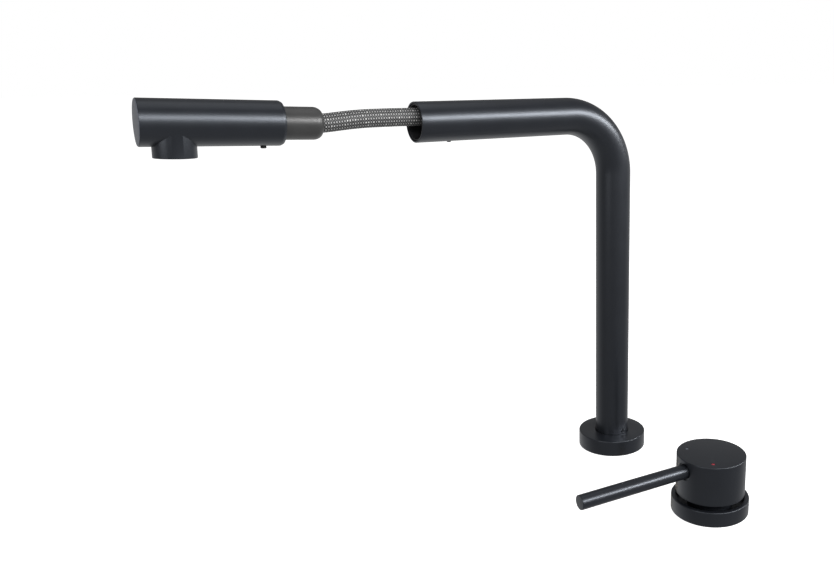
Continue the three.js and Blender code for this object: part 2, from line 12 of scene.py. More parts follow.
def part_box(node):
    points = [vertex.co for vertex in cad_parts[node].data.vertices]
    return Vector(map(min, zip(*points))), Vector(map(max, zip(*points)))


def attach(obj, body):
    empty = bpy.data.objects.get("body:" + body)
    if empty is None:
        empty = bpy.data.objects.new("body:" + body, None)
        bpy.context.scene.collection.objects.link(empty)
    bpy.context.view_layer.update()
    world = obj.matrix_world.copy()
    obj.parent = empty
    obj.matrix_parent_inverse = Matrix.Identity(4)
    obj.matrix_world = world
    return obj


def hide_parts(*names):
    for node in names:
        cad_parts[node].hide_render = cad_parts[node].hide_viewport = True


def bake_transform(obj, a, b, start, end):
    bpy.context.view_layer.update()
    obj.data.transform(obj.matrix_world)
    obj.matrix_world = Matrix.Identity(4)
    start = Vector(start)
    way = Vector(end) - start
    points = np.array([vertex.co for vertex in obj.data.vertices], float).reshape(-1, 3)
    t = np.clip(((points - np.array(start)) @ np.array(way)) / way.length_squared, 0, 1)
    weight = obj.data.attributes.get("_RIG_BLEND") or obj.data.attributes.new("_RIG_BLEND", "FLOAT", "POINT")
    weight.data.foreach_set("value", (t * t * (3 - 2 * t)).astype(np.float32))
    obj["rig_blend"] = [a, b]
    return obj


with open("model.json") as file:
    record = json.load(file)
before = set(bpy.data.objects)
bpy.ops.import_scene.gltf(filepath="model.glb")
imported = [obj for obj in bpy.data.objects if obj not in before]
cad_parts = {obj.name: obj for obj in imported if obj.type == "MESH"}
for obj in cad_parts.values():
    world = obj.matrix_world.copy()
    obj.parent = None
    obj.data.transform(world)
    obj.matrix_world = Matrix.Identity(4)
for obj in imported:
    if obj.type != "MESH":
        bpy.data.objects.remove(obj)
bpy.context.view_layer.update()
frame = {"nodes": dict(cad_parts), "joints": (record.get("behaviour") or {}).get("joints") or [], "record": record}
MM = 0.001

# ---- fits and mesh steps -------------------------------------------------------------------------
# EASE is a little more room than SEAT_GAP gives, and a tool that cuts runs OVERRUN past the surface.
SEAT_GAP = 0.3
EASE = 0.1
OVERRUN = 1
SEGMENTS = 96
FINE_SEGMENTS = 128
NUT_SEGMENTS = 120
FILLET_STEPS = 5
DOME_STEPS = 14
COLUMN_STATIONS = 24
BEND_STATIONS = 49
ARM_STATIONS = 14
SPAN_STEPS = 40
PATH_POINTS = 60
CREASE = 32

# ---- driving dimensions of the spout, in millimetres ---------------------------------------------
TUBE_WALL = 1.2
BEND_RADIUS = 47
LIP_FILLET = 0.55
EDGE_FILLET = 0.7
COLLAR_WALL = 0.7
SMALL_SCREW_RADIUS = 1.5
SCREW_CHAMFER_SHARE = 0.2
SOCKET_DEPTH = 1.6
COLLAR_SCREW_INSIDE = 0.8
COLLAR_SCREW_PROUD = 0.6
COLUMN_SCREW_INSIDE = 1.5
COLUMN_SCREW_SUNK = 0.5
FLANGE_PLATE = 3
FOOT_RADIUS = 24.5
FOOT_BOTTOM = 1.2
FOOT_TOP = 4.2
SPOUT_SHANK_RADIUS = 13.5
SHANK_DEPTH = 58
THREAD_PITCH = 1.5
THREAD_DEPTH = 0.7
THREAD_STEPS = 8
THREAD_STOP = 1
JOURNAL_RADIUS = 10
SEAL_GROOVE = (1.3, 2.9)
SEAL_GROOVE_DEPTH = 1
HOSE_BORE_RADIUS = 8
GUIDE_GAP = 0.5
NUT_OVER_SHANK = 9
NUT_CHAMFER = (0, 0.4, 0.8, 1.2, 1.6)
NUT_CHAMFER_SLOPE = 1.6

# ---- driving dimensions of the spray head --------------------------------------------------------
HEAD_WALL = 1.6
HEAD_LENGTH = 82.4
CAP_SHOWN = 0.35
CAP_INSET = 0.35
SPIGOT_DEPTH = 5.5
INNER_BEVEL = 1.8
NOZZLE_PLACE = 62.8
NOZZLE_RADIUS = 12.4
NOZZLE_DROP = 20.6
NOZZLE_BORE = 10.4
NOZZLE_BORE_START = 4
NECK_RADIUS = 10.4
NECK_LENGTH = 26.3
NECK_DOME = 6.5
NECK_BORE = 8.9
NECK_TAPER = 1.5
NECK_FLARE = 1.8
NECK_HOSE_GAP = 0.9
NECK_EDGE = 0.2
NECK_LIP = 0.3
NECK_ROOT = 15
NECK_SCREW_PLACE = 11.7
NECK_SCREW_RADIUS = 1.8
NECK_SCREW_INSIDE = 1.6
NECK_SCREW_PROUD = 1.5
HOUSING_WALL = 1.9
HOUSING_INLET = 5
HOUSING_START = 8.8
HOUSING_SEAT = 11.5
HOUSING_SUNK = 0.4
INSERT_START = 13.9
INSERT_SUNK = 1.5
NUB_RADIUS = 1.05
NUB_TIP_RADIUS = 0.8
NUB_SUNK = 0.9
JET_RADIUS = 0.45
JET_START = 13
JET_RINGS = ((6, 2.7), (12, 5.4))

# ---- driving dimensions of the hose and what is on it --------------------------------------------
HOSE_RADIUS = 6.2
HOSE_STRANDS = 16
HOSE_CELL = 1.8
FERRULE_GAP = 0.35
FERRULE_RADIUS = 8.2
FERRULE_NEAR = -13
FERRULE_LENGTH = 3.2
HOSE_NUT_BORE = 3.6
HOSE_NUT_RADIUS = 8.3
HOSE_NUT_NEAR = -1.5
HOSE_NUT_FAR = -11.5
COUPLING_FLATS = 18
WEIGHT_BORE = 8.8
WEIGHT_SPLIT = 0.2
WEIGHT_BLOCK = 60
WEIGHT_SCREW_RADIUS = 2
WEIGHT_SCREW_HOLE = 2.3

# ---- driving dimensions of the mixer -------------------------------------------------------------
MIXER_SHANK_RADIUS = 16.5
CARTRIDGE_RADIUS = 12.5
BODY_FLOOR = 2.7
BODY_MOUTH_RADIUS = 14.6
BODY_MOUTH_FLOOR = 22.6
FLANGE_STEP = 1.2
FLANGE_THROAT_GAP = 2.5
PORT_DEPTH = 8
PIPE_WALL = 1.3
CAP_WALL = 2
LEVER_HOLE = 5.5
LEVER_HOLE_START = 4.6
LEVER_ROOT = 5
LEVER_REACH = 112.8
COUNTERSINK = 6.5
COUNTERSINK_DEPTH = 1.1
CAP_SCREW_START = 7.8
CAP_SCREW_SUNK = 0.4
MARK_HOLE = 1.5
MARK_HOLE_DEPTH = 1.1
MARK_RADIUS = 1.2
MARK_THICKNESS = 0.8


# ---- places, read from the frame -----------------------------------------------------------------
def millimetres(node):
    low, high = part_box(node)
    return low / MM, high / MM


def middle(node):
    low, high = millimetres(node)
    return (low + high) / 2


def outer_radius(node):
    low, high = millimetres(node)
    return (high.y - low.y) / 2


def joint(name):
    return next(j for j in frame["joints"] if j["name"] == name)


def place_at(origin, out):
    """Local X points along out, and local Z as nearly upwards as it can."""
    x = Vector(out).normalized()
    y = Vector((0, 0, 1)).cross(x).normalized()
    z = x.cross(y)
    turn = Matrix((x, y, z)).transposed().to_4x4()
    return Matrix.Translation(origin) @ turn @ Matrix.Scale(MM, 4)


ALONG_X = Matrix.Rotation(math.radians(90), 4, "Y")
FACING_DOWN = Matrix.Rotation(math.radians(180), 4, "X")
ROW = Matrix.Scale(MM, 4)
turn_axis = joint("handle_turn")["pos_m"]
MIXER = Matrix.Translation((turn_axis[0], turn_axis[1], 0)) @ ROW
lift_axis = joint("handle_lift")["axis"]
LEVER_WAY = Vector((-lift_axis[1], lift_axis[0], 0))
HANDLE = place_at((turn_axis[0], turn_axis[1], 0), LEVER_WAY)
HEAD = place_at(joint("head_roll")["pos_m"], joint("head_roll")["axis"])
HEAD_X = HEAD @ ALONG_X

tube_low, tube_high = millimetres("spout_tube")
TUBE_RADIUS = outer_radius("spout_tube")
ARM_HEIGHT = tube_high.z - TUBE_RADIUS
ARM_LENGTH = -tube_low.x
TUBE_BORE = TUBE_RADIUS - TUBE_WALL
HEAD_RADIUS = outer_radius("head_end_cap")
HEAD_BORE = HEAD_RADIUS - HEAD_WALL

# ---- camera --------------------------------------------------------------------------------------
EYE = Vector((-0.4045, -0.5259, 0.3088))
YAW = 0.5769
PITCH = 0.24
ROLL = -0.0134
SENSOR_WIDTH = 36
LENS = 34.951
SHIFT = -0.16
camera_data = bpy.data.cameras.new("camera")
camera_data.sensor_width = SENSOR_WIDTH
camera_data.lens = LENS
camera_data.shift_x = SHIFT
camera_data.clip_start = 0.01
camera = bpy.data.objects.new("camera", camera_data)
bpy.context.scene.collection.objects.link(camera)
bpy.context.scene.camera = camera
forward = Vector((math.sin(YAW) * math.cos(PITCH), math.cos(YAW) * math.cos(PITCH), -math.sin(PITCH)))
level_right = forward.cross((0, 0, 1)).normalized()
level_up = level_right.cross(forward)
right = level_right * math.cos(ROLL) + level_up * math.sin(ROLL)
camera.matrix_world = Matrix.Translation(EYE) @ Matrix(
    (right, right.cross(forward), -forward)).transposed().to_4x4()


# ---- materials -----------------------------------------------------------------------------------
class Nodes:
    """Short calls for the node tree of a material or of the world."""

    def __init__(self, owner):
        owner.use_nodes = True
        self.owner = owner
        self.tree = owner.node_tree
        self.shader = self.tree.nodes.get("Principled BSDF")

    def add(self, kind, **settings):
        node = self.tree.nodes.new("ShaderNode" + kind)
        for key, value in settings.items():
            setattr(node, key, value)
        return node

    def link(self, output, target):
        self.tree.links.new(output, target)

    def math(self, operation, first, second=None):
        node = self.add("Math", operation=operation)
        for socket, value in zip(node.inputs, (first, second)):
            if value is None:
                continue
            if isinstance(value, (int, float)):
                socket.default_value = value
            else:
                self.link(value, socket)
        return node.outputs[0]

    def noise(self, scale, detail=3.0, stretch=(1, 1, 1)):
        coordinates = self.add("TexCoord")
        mapping = self.add("Mapping")
        mapping.inputs["Scale"].default_value = stretch
        self.link(coordinates.outputs["Object"], mapping.inputs["Vector"])
        noise = self.add("TexNoise")
        noise.inputs["Scale"].default_value = scale
        noise.inputs["Detail"].default_value = detail
        self.link(mapping.outputs[0], noise.inputs["Vector"])
        return noise.outputs["Fac"]

    def map_range(self, value, old, new=(0, 1), **settings):
        """value, kept within the old range, moves in step through the new one."""
        node = self.add("MapRange", **settings)
        for name, limit in zip(("From Min", "From Max", "To Min", "To Max"), (*old, *new)):
            node.inputs[name].default_value = limit
        self.link(value, node.inputs["Value"])
        return node.outputs[0]

    def spread(self, noise, low, high):
        """Noise lies mostly between 0.3 and 0.7, which become low and high."""
        return self.map_range(noise, (0.3, 0.7), (low, high))

    def mix(self, factor, first, second):
        node = self.add("Mix", data_type="RGBA")
        self.link(factor, node.inputs["Factor"])
        for name, value in (("A", first), ("B", second)):
            socket = next(s for s in node.inputs if s.name == name and s.type == "RGBA")
            if isinstance(value, (tuple, list)):
                socket.default_value = (*value, 1)
            else:
                self.link(value, socket)
        return next(s for s in node.outputs if s.type == "RGBA")

    def bump(self, height, depth):
        node = self.add("Bump")
        node.inputs["Distance"].default_value = depth
        self.link(height, node.inputs["Height"])
        self.link(node.outputs[0], self.shader.inputs["Normal"])


def finish(name, color, roughness, metallic=0.0, variety=0.06, cloud=60, grain=2500, depth=0.00001,
           roughness_spread=0.04, stretch=(1, 1, 1), coat=0.0, specular=0.5, tint=(1, 1, 1)):
    """A finish with slight colour clouds, a fine grain in relief and uneven gloss."""
    nodes = Nodes(bpy.data.materials.new(name))
    darker = tuple(c * (1 - variety) for c in color)
    lighter = tuple(c * (1 + variety) for c in color)
    clouds = nodes.noise(cloud, 2)
    fine = nodes.noise(grain, 4, stretch)
    nodes.link(nodes.mix(nodes.spread(clouds, 0, 1), darker, lighter), nodes.shader.inputs["Base Color"])
    blend = nodes.math("MULTIPLY", nodes.math("ADD", clouds, fine), 0.5)
    nodes.link(nodes.spread(blend, roughness - roughness_spread, roughness + roughness_spread),
               nodes.shader.inputs["Roughness"])
    nodes.bump(fine, depth)
    nodes.shader.inputs["Metallic"].default_value = metallic
    nodes.shader.inputs["Specular IOR Level"].default_value = specular
    nodes.shader.inputs["Specular Tint"].default_value = (*tint, 1)
    nodes.shader.inputs["Coat Weight"].default_value = coat
    return nodes.owner


def braid():
    """Woven strands of two families that cross at the cells of the braid's own coordinates, with painted shade on
    the under cells and in the gaps.
    """
    gap_range = (0.27, 0.44)
    fleck_chance = 0.84
    nodes = Nodes(bpy.data.materials.new("braid"))
    place = nodes.add("UVMap", uv_map="braid")
    split = nodes.add("SeparateXYZ")
    nodes.link(place.outputs[0], split.inputs[0])
    along, across = split.outputs[0], split.outputs[1]
    cell_a, cell_b = nodes.math("FLOOR", along), nodes.math("FLOOR", across)
    part_a, part_b = nodes.math("FRACT", along), nodes.math("FRACT", across)
    parity = nodes.math("PINGPONG", nodes.math("ADD", cell_a, cell_b), 1)
    cell = nodes.add("CombineXYZ")
    nodes.link(cell_a, cell.inputs[0])
    nodes.link(cell_b, cell.inputs[1])
    chance = nodes.add("TexWhiteNoise", noise_dimensions="2D")
    nodes.link(cell.outputs[0], chance.inputs["Vector"])
    threads = nodes.noise(5200, 2)
    # under is painted shade: the cells of the weave where a strand passes under are coloured darker than the cells
    # where it passes over
    under = nodes.mix(nodes.spread(threads, 0, 1), (0.09, 0.09, 0.091), (0.15, 0.15, 0.151))
    over = nodes.mix(nodes.spread(threads, 0, 1), (0.34, 0.34, 0.34), (0.52, 0.52, 0.52))
    strands = nodes.mix(parity, under, over)
    fleck = nodes.math("GREATER_THAN", chance.outputs["Value"], fleck_chance)
    flecked = nodes.mix(nodes.math("MULTIPLY", fleck, parity), strands, (0.72, 0.72, 0.71))
    # painted shade between strands: towards the edges of each cell the colour is mixed to near black
    edge_a = nodes.math("ABSOLUTE", nodes.math("SUBTRACT", part_a, 0.5))
    edge_b = nodes.math("ABSOLUTE", nodes.math("SUBTRACT", part_b, 0.5))
    gap = nodes.math("SMOOTH_MAX", edge_a, edge_b)
    painted_gap_shade = nodes.map_range(gap, gap_range, interpolation_type="SMOOTHSTEP")
    nodes.link(nodes.mix(painted_gap_shade, flecked, (0.02, 0.02, 0.021)), nodes.shader.inputs["Base Color"])
    nodes.link(nodes.spread(threads, 0.42, 0.62), nodes.shader.inputs["Roughness"])
    nodes.bump(threads, 0.00005)
    return nodes.owner


MATERIALS = {
    "matte_black": finish("matte_black", (0.0095, 0.0108, 0.0142), 0.34, grain=3200, depth=0.0000005,
                          roughness_spread=0.02, specular=0.95, tint=(0.84, 0.90, 1.0)),
    "dark_grey": finish("dark_grey", (0.120, 0.133, 0.168), 0.45, grain=3000, depth=0.000004),
    "satin_grey": finish("satin_grey", (0.047, 0.047, 0.047), 0.38, grain=900,
                         stretch=(0.15, 1, 1), depth=0.000002, specular=0.75),
    "braid": braid(),
    "brass": finish("brass", (0.62, 0.45, 0.19), 0.28, metallic=1.0, variety=0.1, grain=1500,
                    stretch=(1, 1, 6), depth=0.00001),
    "steel": finish("steel", (0.52, 0.53, 0.54), 0.24, metallic=1.0, variety=0.08, grain=1800,
                    stretch=(1, 1, 5), depth=0.000008),
    "rubber": finish("rubber", (0.018, 0.018, 0.018), 0.7, variety=0.2, grain=2600, depth=0.00003),
    "white_plastic": finish("white_plastic", (0.72, 0.71, 0.67), 0.42, variety=0.03, grain=1400),
    "black_plastic": finish("black_plastic", (0.028, 0.028, 0.03), 0.45, variety=0.12, grain=1600,
                            depth=0.00002),
    "cast_iron": finish("cast_iron", (0.11, 0.11, 0.115), 0.55, metallic=0.7, variety=0.22, cloud=220,
                        grain=1100, depth=0.00012),
    "hot_red": finish("hot_red", (0.42, 0.03, 0.05), 0.25, variety=0.08, coat=0.5),
    "cold_blue": finish("cold_blue", (0.11, 0.125, 0.15), 0.25, variety=0.08, coat=0.5),
}
SLOT_OF = {part["node"]: part["material_slot"] for part in frame["record"]["subparts"]}
BODY_OF = {node: body for body, nodes in frame["record"]["behaviour"]["bodies"].items() for node in nodes}


# ---- meshes --------------------------------------------------------------------------------------
def shade(mesh):
    mesh.shade_smooth()
    mesh.set_sharp_from_angle(angle=math.radians(CREASE))


def skin(name, rings, place, loop=False):
    """Faces from ring to ring. A ring has the same number of points as the others, or only one."""
    vertices, index = [], []
    for ring in rings:
        index.append(range(len(vertices), len(vertices) + len(ring)))
        vertices += [place @ Vector(point) for point in ring]
    faces = []
    pairs = list(zip(index, index[1:]))
    if loop:
        pairs.append((index[-1], index[0]))
    for first, second in pairs:
        count = max(len(first), len(second))
        for k in range(count if count > 1 else 0):
            n = (k + 1) % count
            face = [first[k], first[n]] if len(first) > 1 else [first[0]]
            face += [second[n], second[k]] if len(second) > 1 else [second[0]]
            faces.append(face)
    mesh = bpy.data.meshes.new(name)
    mesh.from_pydata(vertices, [], faces)
    work = bmesh.new()
    work.from_mesh(mesh)
    bmesh.ops.recalc_face_normals(work, faces=work.faces)
    work.to_mesh(mesh)
    work.free()
    shade(mesh)
    piece = bpy.data.objects.new(name, mesh)
    bpy.context.scene.collection.objects.link(piece)
    return piece


def rounded(profile):
    """The profile's points, with the corners that have a third number rounded by that much."""
    points = []
    for i, (radius, height, *fillet) in enumerate(profile):
        corner = Vector((radius, height))
        if not fillet:
            points.append(corner)
            continue
        before, after = Vector(profile[i - 1][:2]), Vector(profile[(i + 1) % len(profile)][:2])
        start = corner + (before - corner).normalized() * fillet[0]
        end = corner + (after - corner).normalized() * fillet[0]
        for step in range(FILLET_STEPS + 1):
            t = step / FILLET_STEPS
            points.append(start * (1 - t) ** 2 + corner * 2 * t * (1 - t) + end * t ** 2)
    return points


def circle(radius, height, segments=SEGMENTS):
    if radius < 1e-6:
        return [(0, 0, height)]
    angles = [2 * math.pi * k / segments for k in range(segments)]
    return [(radius * math.cos(a), radius * math.sin(a), height) for a in angles]


def lathe(name, profile, place, segments=SEGMENTS):
    points = rounded(profile)
    rings = [circle(radius, height, segments) for radius, height in points]
    return skin(name, rings, place, loop=points[0].x > 1e-6)


def drill(radius, bottom, top, place, segments=48):
    return lathe("drill", [(0, bottom), (radius, bottom), (radius, top), (0, top)], place, segments)


def carve(piece, *tools, operation="DIFFERENCE"):
    for tool in tools:
        change = piece.modifiers.new("carve", "BOOLEAN")
        change.operation = operation
        change.solver = "EXACT"
        change.object = tool
    graph = bpy.context.evaluated_depsgraph_get()
    mesh = bpy.data.meshes.new_from_object(piece.evaluated_get(graph))
    piece.modifiers.clear()
    piece.data = mesh
    for tool in tools:
        bpy.data.objects.remove(tool)
    shade(mesh)
    return piece


def show(piece, node):
    """piece stands for a CAD node, with the body and finish that the record gives that node."""
    piece.data.materials.clear()
    piece.data.materials.append(MATERIALS[SLOT_OF[node]])
    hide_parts(node)
    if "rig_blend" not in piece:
        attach(piece, BODY_OF[node])
    return piece


def visual(node):
    return "visual_" + node


# ---- hose ----------------------------------------------------------------------------------------
REACH = [
    (-249.4, 0, 286.15), (-243.6, 0, 285.9), (-237.4, 0, 285.75), (-231, 0, 286.1), (-224, 0, 286.7),
    (-216, 0, 287.3), (-207, 0, 287.7), (-196, 0, 287.8), (-184, 0, 287.8), (-172.5, 0, 287.7),
    (-155, 0, 287.7), (-135, 0, 287.7), (-112, 0, 287.7), (-89, 0, 287.7), (-66, 0, 287.7),
]
RISER = [
    (-65.7, 0, 287.7), (-60, 0, 287.7), (-54.3, 0, 287.7), (-39.3, 0, 285.7), (-25.3, 0, 279.9),
    (-13.3, 0, 270.7), (-4.1, 0, 258.7), (1.7, 0, 244.7), (3.7, 0, 229.7), (3.7, 0, 215),
    (3.6, 0, 196), (3.3, 0, 170), (2.7, 0, 140), (1.8, 0, 108), (0.8, 0, 78), (0.1, 0, 50),
    (0, 0, 28), (0, 0, 6),
]
TAIL = [
    (0, 0, 5.7), (0, 0, -15), (0, 0, -40), (0, 0, -70), (0, 0, -105), (0, 0, -145), (0, 0, -190),
    (0, 0, -235), (0, 0, -275), (-0.5, -5.4, -301.9), (-1.4, -20.6, -324.8), (-2.9, -43.5, -340),
    (-4.75, -70.4, -345.4), (-6.6, -97.3, -340), (-8.1, -120.2, -324.8), (-9, -135.4, -301.9),
    (-9.5, -140.8, -275), (-9.5, -140.8, -240), (-9.5, -140.8, -200), (-9.5, -140.8, -160),
    (-9.5, -140.8, -125), (-9.5, -140.8, -100), (-9.5, -140.8, -86),
]


def smooth_route(points, step):
    """Points a step apart on a centripetal curve through the given ones."""
    points = np.array(points, float)
    points = np.vstack([2 * points[0] - points[1], points, 2 * points[-1] - points[-2]])
    fine = []
    for p0, p1, p2, p3 in zip(points, points[1:], points[2:], points[3:]):
        t0 = 0.0
        t1 = t0 + math.sqrt(np.linalg.norm(p1 - p0))
        t2 = t1 + math.sqrt(np.linalg.norm(p2 - p1))
        t3 = t2 + math.sqrt(np.linalg.norm(p3 - p2))
        t = np.linspace(t1, t2, SPAN_STEPS, endpoint=False)[:, None]
        a1 = (t1 - t) / (t1 - t0) * p0 + (t - t0) / (t1 - t0) * p1
        a2 = (t2 - t) / (t2 - t1) * p1 + (t - t1) / (t2 - t1) * p2
        a3 = (t3 - t) / (t3 - t2) * p2 + (t - t2) / (t3 - t2) * p3
        b1 = (t2 - t) / (t2 - t0) * a1 + (t - t0) / (t2 - t0) * a2
        b2 = (t3 - t) / (t3 - t1) * a2 + (t - t1) / (t3 - t1) * a3
        fine.append((t2 - t) / (t2 - t1) * b1 + (t - t1) / (t2 - t1) * b2)
    fine = np.vstack([*fine, points[-2]])
    walked = np.concatenate([[0], np.cumsum(np.linalg.norm(np.diff(fine, axis=0), axis=1))])
    count = max(2, int(round(walked[-1] / step)) + 1)
    stations = np.linspace(0, walked[-1], count)
    return stations, np.stack([np.interp(stations, walked, fine[:, i]) for i in range(3)], axis=1)


def braided_hose(node, points, step, around, relief):
    """A hose of plaited strands, each a ridge that passes over and under the ones that it crosses."""
    stations, centres = smooth_route(points, step)
    tangents = np.gradient(centres, axis=0)
    tangents /= np.linalg.norm(tangents, axis=1)[:, None]
    side = np.cross(tangents[0], (0.0, 1.0, 0.0))
    sides = []
    for tangent in tangents:
        side = side - tangent * np.dot(side, tangent)
        side = side / np.linalg.norm(side)
        sides.append(side)
    sides = np.array(sides)
    others = np.cross(tangents, sides)
    turn = np.arange(around) / around
    strand_a = HOSE_STRANDS * turn[None, :] + stations[:, None] / HOSE_CELL
    strand_b = HOSE_STRANDS * turn[None, :] - stations[:, None] / HOSE_CELL
    part_a, part_b = strand_a % 1, strand_b % 1
    over = (np.floor(strand_a) + np.floor(strand_b)) % 2 == 1
    across, along = np.where(over, part_a, part_b), np.where(over, part_b, part_a)
    height = np.sqrt(np.sin(np.pi * across)) * (0.4 + 0.6 * np.sin(np.pi * along))
    radius = (HOSE_RADIUS - relief * (1 - height))[:, :, None]
    angle = (2 * math.pi * turn)[None, :, None]
    surface = centres[:, None, :] + radius * (
        np.cos(angle) * sides[:, None, :] + np.sin(angle) * others[:, None, :])
    rings = [[tuple(centres[0])], *[[tuple(p) for p in ring] for ring in surface], [tuple(centres[-1])]]
    hose = skin(visual(node), rings, ROW)
    layer = hose.data.uv_layers.new(name="braid")
    last = len(hose.data.vertices) - 1
    for face in hose.data.polygons:
        spots = [(hose.data.loops[i].vertex_index, i) for i in face.loop_indices]
        columns = [(v - 1) % around for v, _ in spots if 0 < v < last]
        wraps = 0 in columns and around - 1 in columns
        for vertex, loop in spots:
            row, column = divmod(min(max(vertex - 1, 0), last - 2), around)
            column = around if wraps and column == 0 else column
            u = HOSE_STRANDS * column / around
            v = stations[row] / HOSE_CELL
            layer.data[loop].uv = (u + v, u - v)
    stride = max(1, len(centres) // PATH_POINTS)
    path = [tuple(p * MM) for p in centres[::stride]] + [tuple(centres[-1] * MM)]
    return hose, stations[-1] * MM, path


def make_hoses():
    reach, length, path = braided_hose("hose_reach", REACH, step=0.4, around=132, relief=0.28)
    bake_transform(reach, "hose_end", "spout", start=Vector(REACH[0]) * MM, end=Vector(REACH[-1]) * MM)
    show(reach, "hose_reach")

    riser, length, path = braided_hose("hose_riser", RISER, step=2.0, around=44, relief=0.1)
    show(riser, "hose_riser")

    tail, length, path = braided_hose("hose_tail", TAIL, step=0.9, around=66, relief=0.25)
    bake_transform(tail, "root", "hose_loop", start=(0, 0, -0.08), end=(0, 0, -0.30))
    show(tail, "hose_tail")


# ---- screws, nuts and threads --------------------------------------------------------------------
def socket_screw(node, radius, bottom, top, place, socket=0.55):
    """A headless screw along local Z with a chamfered top and a hexagon socket in it."""
    chamfer = radius * SCREW_CHAMFER_SHARE
    screw = lathe(visual(node), [
        (0, bottom), (radius - chamfer, bottom), (radius, bottom + chamfer), (radius, top - chamfer),
        (radius - chamfer, top), (0, top)], place, 48)
    depth = min(SOCKET_DEPTH, (top - bottom) / 2)
    return show(carve(screw, drill(radius * socket, top - depth, top + 1, place, 6)), node)


def hex_radius(flats, angle):
    """Radius of a hexagon with a corner at angle 0."""
    corner = math.radians(60)
    return flats / 2 / math.cos((angle % corner) - corner / 2)


def hex_nut(node, inner, flats, place):
    """A nut with both faces chamfered, which leaves curved edges on its flats."""
    low, high = millimetres(node)
    angles = [2 * math.pi * k / NUT_SEGMENTS for k in range(NUT_SEGMENTS)]
    full = flats / math.sqrt(3)
    heights = [low.z + s for s in NUT_CHAMFER] + [high.z - s for s in reversed(NUT_CHAMFER)]
    rings = [circle(inner, low.z, NUT_SEGMENTS)]
    for height in heights:
        reach = flats / 2 + min(height - low.z, high.z - height) * NUT_CHAMFER_SLOPE
        radii = [min(hex_radius(flats, a), reach, full) for a in angles]
        rings.append([(r * math.cos(a), r * math.sin(a), height) for r, a in zip(radii, angles)])
    rings.append(circle(inner, high.z, NUT_SEGMENTS))
    return show(skin(visual(node), rings, place, loop=True), node)


def thread_rings(radius, bottom, top):
    """Rings of a thread that fades out at both ends."""
    rings = []
    step = THREAD_PITCH / THREAD_STEPS
    for i in range(int((top - bottom) / step) + 1):
        height = bottom + i * step
        fade = min(1, (height - bottom) / THREAD_PITCH, (top - height) / THREAD_PITCH)
        ring = []
        for k in range(SEGMENTS):
            phase = (height / THREAD_PITCH - k / SEGMENTS) % 1
            groove = THREAD_DEPTH * abs(2 * phase - 1) * max(0, fade)
            angle = 2 * math.pi * k / SEGMENTS
            ring.append(((radius - groove) * math.cos(angle), (radius - groove) * math.sin(angle), height))
        rings.append(ring)
    return rings


def upright(node):
    """A place on the vertical axis through the middle of a CAD node, at the worktop's height."""
    centre = middle(node)
    return Matrix.Translation((centre.x * MM, centre.y * MM, 0)) @ ROW


def fine_ring(node, inner, fillet):
    """A ring on a vertical axis through the middle of its CAD node, with softened edges."""
    low, high = millimetres(node)
    radius = outer_radius(node)
    profile = [(inner, low.z, fillet), (radius, low.z, fillet), (radius, high.z, fillet),
               (inner, high.z, fillet)]
    return show(lathe(visual(node), profile, upright(node)), node)


# ---- spout ---------------------------------------------------------------------------------------
def spout_centreline():
    """(point, tangent) from the tube's foot to its mouth."""
    bend_start = ARM_HEIGHT - BEND_RADIUS
    stations = [(Vector((0, 0, z)), Vector((0, 0, 1)))
                for z in np.linspace(tube_low.z, bend_start, COLUMN_STATIONS, endpoint=False)]
    for angle in np.linspace(0, math.pi / 2, BEND_STATIONS):
        point = Vector((-BEND_RADIUS + BEND_RADIUS * math.cos(angle), 0,
                        bend_start + BEND_RADIUS * math.sin(angle)))
        stations.append((point, Vector((-math.sin(angle), 0, math.cos(angle)))))
    for x in np.linspace(-BEND_RADIUS, -ARM_LENGTH, ARM_STATIONS)[1:]:
        stations.append((Vector((x, 0, ARM_HEIGHT)), Vector((-1, 0, 0))))
    return stations


def tube_ring(point, tangent, radius, back=0.0):
    side = Vector((0, 1, 0))
    up = tangent.cross(side)
    centre = point - tangent * back
    return [centre + radius * (math.cos(a) * up + math.sin(a) * side)
            for a in (2 * math.pi * k / SEGMENTS for k in range(SEGMENTS))]


